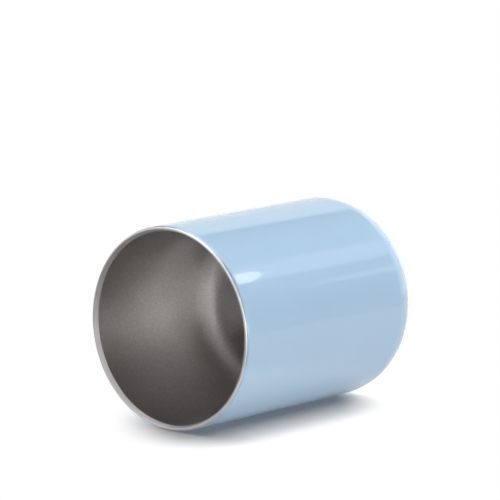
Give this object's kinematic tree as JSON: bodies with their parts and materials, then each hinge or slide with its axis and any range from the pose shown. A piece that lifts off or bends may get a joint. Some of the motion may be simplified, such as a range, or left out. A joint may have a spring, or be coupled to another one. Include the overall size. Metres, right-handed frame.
{
  "type": "double-wall drawn metal cup",
  "caption": "Straight drawn steel cup with a double wall, pale blue gloss coat outside, bare steel inside and a polished bare lip.",
  "frame": {"origin": "centre of the base, on the plane that the cup stands on", "axes": "+Z along the cup's own axis, from the base up to the mouth; the cup is round, so +X and +Y are free"},
  "size_m": [0.08, 0.08, 0.108],
  "materials": {
    "coated_steel": "pale sky blue gloss coat on drawn steel",
    "bare_steel": "bare stainless steel, fine matt blasted inside, polished bright at the lip"
  },
  "bodies": {
    "root": {"outer_shell": "coated_steel", "inner_shell": "bare_steel"}
  },
  "joints": []
}
